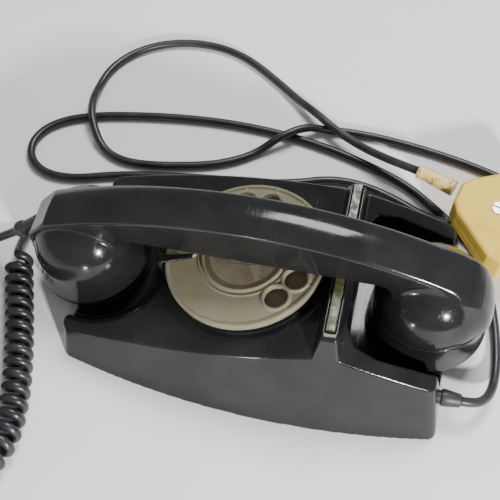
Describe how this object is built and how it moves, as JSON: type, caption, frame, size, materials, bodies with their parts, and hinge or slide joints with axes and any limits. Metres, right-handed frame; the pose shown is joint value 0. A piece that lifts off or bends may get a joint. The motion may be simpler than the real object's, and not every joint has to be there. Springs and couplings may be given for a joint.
{
  "type": "rotary wall telephone",
  "caption": "Wall telephone with a rotary dial, a handset hung lengthwise across a sprung hook bar, a curly handset cord and a line cord that ends in a plug.",
  "frame": {"origin": "centre of the wall face of the back plate, under the dial centre", "axes": "+X up the wall along the handset, +Y across the body, +Z out of the wall"},
  "size_m": [0.2918, 0.2916, 0.0826],
  "materials": {
    "zinc_plate": "satin",
    "black_bakelite": "polished, lightly scratched",
    "steel": "satin",
    "dark_case": "moulded",
    "number_plate": "printed",
    "clear_wheel": "clear, yellowed",
    "card": "card",
    "clear_cover": "clear",
    "brass": "satin",
    "clear_bar": "clear, yellowed",
    "winding": "varnished wire",
    "gong": "nickelled",
    "can": "satin",
    "black_rubber": "matte",
    "line_cord": "satin",
    "curly_cord": "satin",
    "yellow_plastic": "moulded",
    "pale_sleeve": "moulded"
  },
  "bodies": {
    "base": {"back_plate": "zinc_plate", "housing": "black_bakelite", "cover_screws": "steel", "dial_case": "dark_case", "dial_bezel": "black_bakelite", "number_plate": "number_plate", "finger_stop": "black_bakelite", "governor_cup": "brass", "return_spring": "steel", "contact_block": "dark_case", "impulse_contacts": "brass", "hook_switch_frame": "zinc_plate", "hook_lever_pin": "steel", "hook_contact_block": "dark_case", "ringer_frame": "zinc_plate", "ringer_coils": "winding", "ringer_gongs": "gong", "gong_screws": "steel", "induction_core": "steel", "induction_winding": "winding", "capacitor": "can", "terminal_block": "dark_case", "terminal_screws": "brass", "cord_clamp": "steel", "line_cord": "line_cord", "handset_cord_coil": "curly_cord", "handset_cord_tail": "curly_cord", "line_cord_boot": "black_rubber", "handset_cord_grommet": "black_rubber", "plug_cover": "yellow_plastic", "plug_base": "yellow_plastic", "plug_screw": "steel", "plug_pins": "brass", "plug_sleeve": "pale_sleeve"},
    "handset": {"handset_shell": "black_bakelite", "earpiece_cap": "black_bakelite", "mouthpiece_cap": "black_bakelite", "receiver_capsule": "can", "transmitter_capsule": "can", "handset_cord_boot": "black_rubber", "handset_cord_lead": "curly_cord"},
    "dial": {"finger_wheel": "clear_wheel", "centre_card": "card", "card_cover": "clear_cover", "dial_shaft": "steel", "main_gear": "brass"},
    "impulse_train": {"impulse_pinion": "brass", "second_wheel": "brass", "impulse_cam": "dark_case", "impulse_shaft": "steel"},
    "governor": {"governor_spindle": "steel", "governor_weights": "brass"},
    "hook_bar": {"hook_bar": "clear_bar", "hook_plunger": "clear_bar"},
    "hook_lever": {"hook_lever": "steel"},
    "clapper": {"ringer_clapper": "steel"}
  },
  "joints": [
    {"name": "handset_lift", "type": "slide", "parent": "base", "child": "handset", "axis": [0, 0, 1], "range_m": [0, 0.08]},
    {"name": "dial_turn", "type": "hinge", "parent": "base", "child": "dial", "pos_m": [0, 0, 0.037], "axis": [-0.2088, 0, 0.978], "range_deg": [-332, 0], "stiffness_Nm_per_rad": 0.004, "springref_deg": 68.75},
    {"name": "impulse_turn", "type": "hinge", "parent": "base", "child": "impulse_train", "pos_m": [0, 0.0252, 0.037], "axis": [-0.2088, 0, 0.978], "range_deg": [-5, 1665]},
    {"name": "governor_turn", "type": "hinge", "parent": "base", "child": "governor", "pos_m": [-0.00847, 0.0202, 0.03519], "axis": [-0.2088, 0, 0.978], "range_deg": [-4990, 5]},
    {"name": "hook_bar_rise", "type": "slide", "parent": "base", "child": "hook_bar", "axis": [0, 0, 1], "range_m": [0, 0.0041]},
    {"name": "hook_lever_turn", "type": "hinge", "parent": "base", "child": "hook_lever", "pos_m": [0.044, 0, 0.024], "axis": [0, -1, 0], "range_deg": [-0.5, 12.5]},
    {"name": "clapper_swing", "type": "hinge", "parent": "base", "child": "clapper", "pos_m": [0.011, 0, 0.008], "axis": [0, 0, 1], "range_deg": [-3.5, 3.5]}
  ],
  "couplings": [
    {"joint": "impulse_turn", "follows": "dial_turn", "ratio": -5},
    {"joint": "governor_turn", "follows": "dial_turn", "ratio": 15},
    {"joint": "hook_bar_rise", "follows": "handset_lift", "ratio": 0.05},
    {"joint": "hook_lever_turn", "follows": "handset_lift", "rad_per_m": 2.5}
  ]
}
